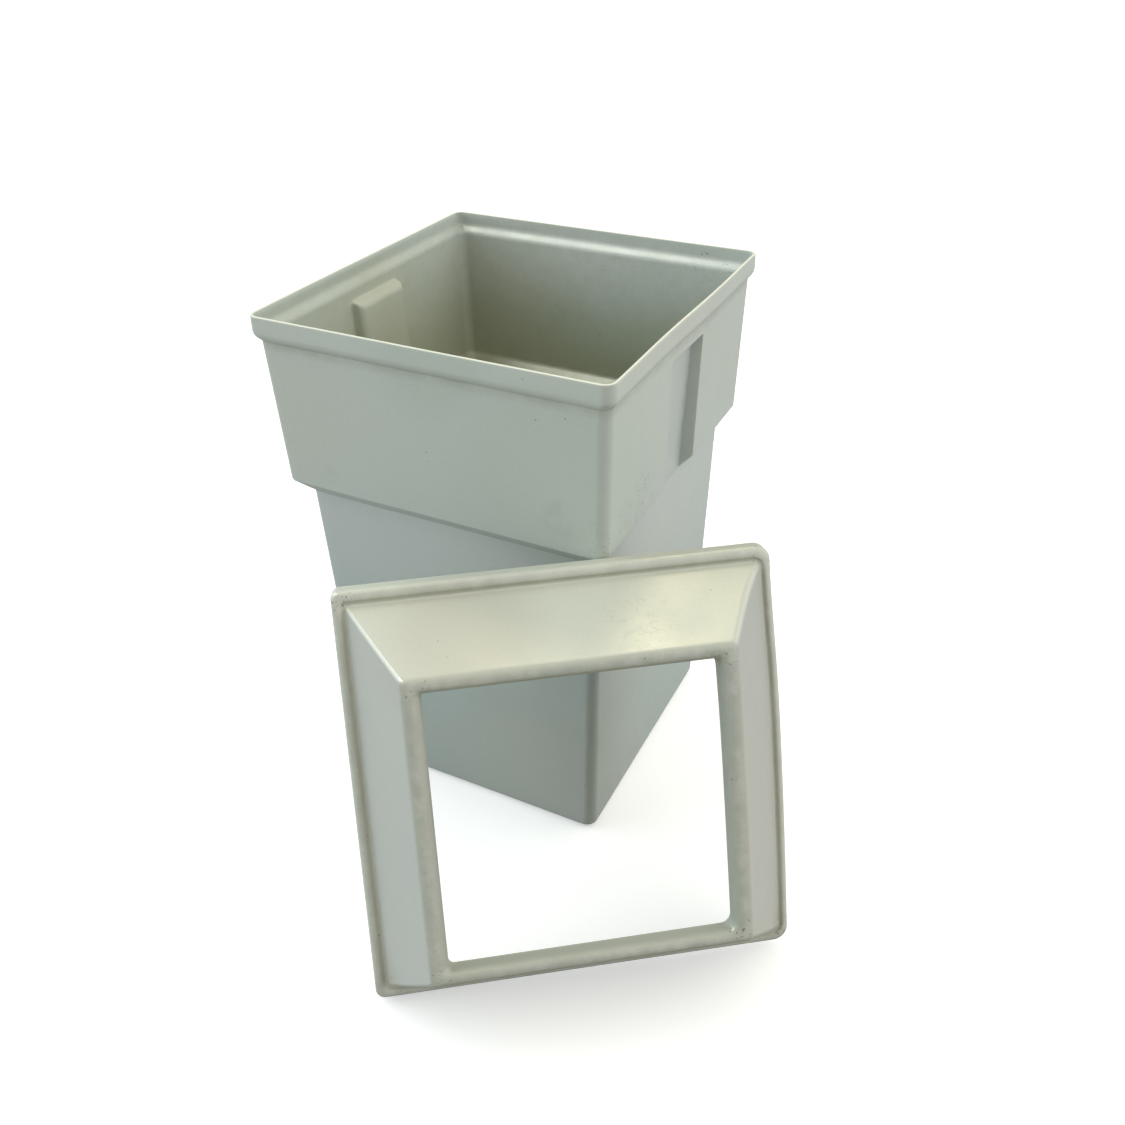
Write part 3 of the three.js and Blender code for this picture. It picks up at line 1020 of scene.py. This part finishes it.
def body_material():
    return sheet_plastic("grey green sheet", {
        "cool": rgb(0.43, 0.50, 0.475),
        "warm": rgb(0.455, 0.485, 0.44),
        "patch": rgb(0.40, 0.46, 0.41),
        # Darker tone for handling marks and painted shade
        "handling_and_shade_tone": rgb(0.37, 0.435, 0.385),
        # Olive painted shade deep in the vessel
        "deep": rgb(0.325, 0.33, 0.215),
        # Dark tone for dirt and painted shade
        "dirt_and_shade": rgb(0.22, 0.23, 0.18),
        # Pale tone for wear and painted highlights
        "rubbed": rgb(0.60, 0.61, 0.54),
        "trim": rgb(0.66, 0.65, 0.54),
        "speck": rgb(0.10, 0.10, 0.08),
        # Painted light on upward faces
        "painted_top_light": rgb(0.47, 0.47, 0.40),
        # Painted shade tone of a crest; the body has no crest
        "crest_shade": rgb(0.43, 0.44, 0.38),
        "stain": rgb(0.27, 0.33, 0.27),
        "scratch": rgb(0.33, 0.35, 0.30),
        "handling_and_shade": BODY_HANDLING_AND_SHADE,
        "specks": BODY_SPECKS,
        "stains": BODY_STAINS,
        "scratches": BODY_SCRATCHES,
        # Painted shade in upright corners
        "corner_shade": 0.32,
        "painted_top_light_strength": 0.3,
        "hip_wear_and_highlight": 0.0,
        "hollow_strength": 0.8,
        # No painted shade on the body's undersides
        "underside_shade_strength": 0.0,
        # Paler tone, also used as painted light on the inside's top and the slots' floors
        "pale": rgb(0.54, 0.565, 0.54),
        "pale_strength": 0.8,
        "depth_strength": 0.85,
        "rough": 0.46,
    })


def frame_material():
    return sheet_plastic("pale grey sheet", {
        "cool": rgb(0.45, 0.463, 0.428),
        "warm": rgb(0.472, 0.478, 0.432),
        "patch": rgb(0.45, 0.455, 0.41),
        # Darker tone for handling marks and painted shade
        "handling_and_shade_tone": rgb(0.43, 0.425, 0.36),
        # Darker tone low on the frame's rear side
        "deep": rgb(0.42, 0.43, 0.36),
        # Dark tone for dirt and painted shade
        "dirt_and_shade": rgb(0.33, 0.33, 0.24),
        # Pale tone for wear and painted highlights
        "rubbed": rgb(0.68, 0.685, 0.60),
        "trim": rgb(0.66, 0.65, 0.55),
        "speck": rgb(0.10, 0.10, 0.08),
        # Painted light on upward faces, cream
        "painted_top_light": rgb(0.51, 0.52, 0.44),
        # Painted shade on the crest and return
        "crest_shade": rgb(0.37, 0.38, 0.315),
        "scratch": rgb(0.46, 0.455, 0.37),
        "handling_and_shade": FRAME_HANDLED,
        "specks": FRAME_SPECKS,
        "scratches": FRAME_SCRATCHES,
        "corner_shade": 0.0,
        "painted_top_light_strength": 0.9,
        # Wear and a painted highlight on the hips
        "hip_wear_and_highlight": 0.26,
        "hollow_strength": 0.38,
        # Painted shade on undersides
        "underside_shade_strength": 0.9,
        "pale": rgb(0.53, 0.53, 0.455),
        "pale_strength": 0.8,
        "depth_strength": 0.5,
        "rough": 0.36,
    })


def floor_material():
    """White to the camera, with soft shadows. It sends less light back up than it seems to."""
    material = bpy.data.materials.new("pale floor")
    material.use_nodes = True
    tree = material.node_tree
    tree.nodes.clear()
    n = Nodes(tree)
    white = n.add("ShaderNodeBsdfDiffuse", {"Color": rgb(*[FLOOR_TONE] * 3)})
    glow = n.add("ShaderNodeEmission", {"Color": rgb(1, 1, 1), "Strength": FLOOR_GLOW})
    seen = n.add("ShaderNodeAddShader", {0: white.outputs[0], 1: glow.outputs[0]})
    bounce = n.add("ShaderNodeBsdfDiffuse", {"Color": rgb(*[FLOOR_BOUNCE] * 3)})
    camera_ray = n.add("ShaderNodeLightPath").outputs["Is Camera Ray"]
    both = n.add("ShaderNodeMixShader", {0: camera_ray, 1: bounce.outputs[0], 2: seen.outputs[0]})
    n.add("ShaderNodeOutputMaterial", {"Surface": both.outputs[0]})
    return material


# ---------------------------------------------------------------- stage

def make_floor():
    mesh = bpy.data.meshes.new("floor")
    corners = [(x * FLOOR_HALF, y * FLOOR_HALF, 0) for x, y in ((-1, -1), (1, -1), (1, 1), (-1, 1))]
    mesh.from_pydata(corners, [], [(0, 1, 2, 3)])
    floor = bpy.data.objects.new("floor", mesh)
    floor.location.z = -FLOOR_DROP
    floor.data.materials.append(floor_material())
    bpy.context.scene.collection.objects.link(floor)


def area_light(name, place, side, power, colour):
    data = bpy.data.lights.new(name, "AREA")
    data.shape = "SQUARE"
    data.size = side
    data.energy = power
    data.color = colour
    light = bpy.data.objects.new(name, data)
    light.location = place
    aim = Vector(GLINT_TARGET) - Vector(place)
    light.rotation_euler = aim.to_track_quat("-Z", "Y").to_euler()
    bpy.context.scene.collection.objects.link(light)
    return light


def studio_world():
    """Soft light from several sides. The camera sees plain white."""
    world = bpy.data.worlds.new("studio")
    world.use_nodes = True
    tree = world.node_tree
    tree.nodes.clear()
    n = Nodes(tree)
    direction = n.add("ShaderNodeTexCoord").outputs["Generated"]
    glow = (0.0, 0.0, 0.0)
    for azimuth, elevation, strength, colour in GLOWS.values():
        turn, rise = math.radians(azimuth), math.radians(elevation)
        source = (math.cos(rise) * math.cos(turn), math.cos(rise) * math.sin(turn), math.sin(rise))
        facing = n.add("ShaderNodeVectorMath", {0: direction, 1: source}, operation="DOT_PRODUCT")
        lobe = n.math("POWER", n.math("MAXIMUM", facing.outputs["Value"], 0.0), GLOW_FOCUS)
        tinted = n.add("ShaderNodeVectorMath", {0: colour, "Scale": n.times(lobe, strength)},
                       operation="SCALE")
        glow = n.add("ShaderNodeVectorMath", {0: glow, 1: tinted.outputs[0]}).outputs[0]
    lighting = n.add("ShaderNodeBackground", {"Color": glow, "Strength": 1.0})
    seen = n.add("ShaderNodeBackground", {"Color": rgb(1, 1, 1), "Strength": 1.0})
    camera_ray = n.add("ShaderNodeLightPath").outputs["Is Camera Ray"]
    both = n.add("ShaderNodeMixShader", {0: camera_ray, 1: lighting.outputs[0], 2: seen.outputs[0]})
    n.add("ShaderNodeOutputWorld", {"Surface": both.outputs[0]})
    bpy.context.scene.world = world


def make_light():
    studio_world()
    for number, (place, side, power, colour) in enumerate(GLINTS):
        glint = area_light("glint_%d" % number, place, side, power, colour)
        glint.visible_diffuse = False
    bpy.context.scene.view_settings.view_transform = "Standard"


def make_camera():
    yaw, pitch, roll = CAMERA_YAW, CAMERA_PITCH, CAMERA_ROLL
    forward = Vector((-math.sin(yaw) * math.cos(pitch), math.cos(yaw) * math.cos(pitch),
                      -math.sin(pitch)))
    level = Vector((math.cos(yaw), math.sin(yaw), 0))
    down = forward.cross(level)
    right = level * math.cos(roll) + down * math.sin(roll)
    lower = down * math.cos(roll) - level * math.sin(roll)
    turn = Matrix((right, -lower, -forward)).transposed().to_4x4()
    data = bpy.data.cameras.new("camera")
    data.lens = CAMERA_LENS
    data.sensor_fit = "VERTICAL"
    data.sensor_height = CAMERA_SENSOR
    data.sensor_width = CAMERA_FIT_WIDTH
    data.shift_x, data.shift_y = CAMERA_SHIFT
    camera = bpy.data.objects.new("camera", data)
    camera.matrix_world = Matrix.Translation(CAMERA_PLACE) @ turn
    bpy.context.scene.collection.objects.link(camera)
    bpy.context.scene.camera = camera


# ---------------------------------------------------------------- assembly

mould_body = make_mould_body()
mould_body.data.materials.append(body_material())
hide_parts("mould_body")
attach(mould_body, "body")

top_frame = make_top_frame()
top_frame.data.materials.append(frame_material())
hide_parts("top_frame")
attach(top_frame, "frame")

make_floor()
make_light()
make_camera()
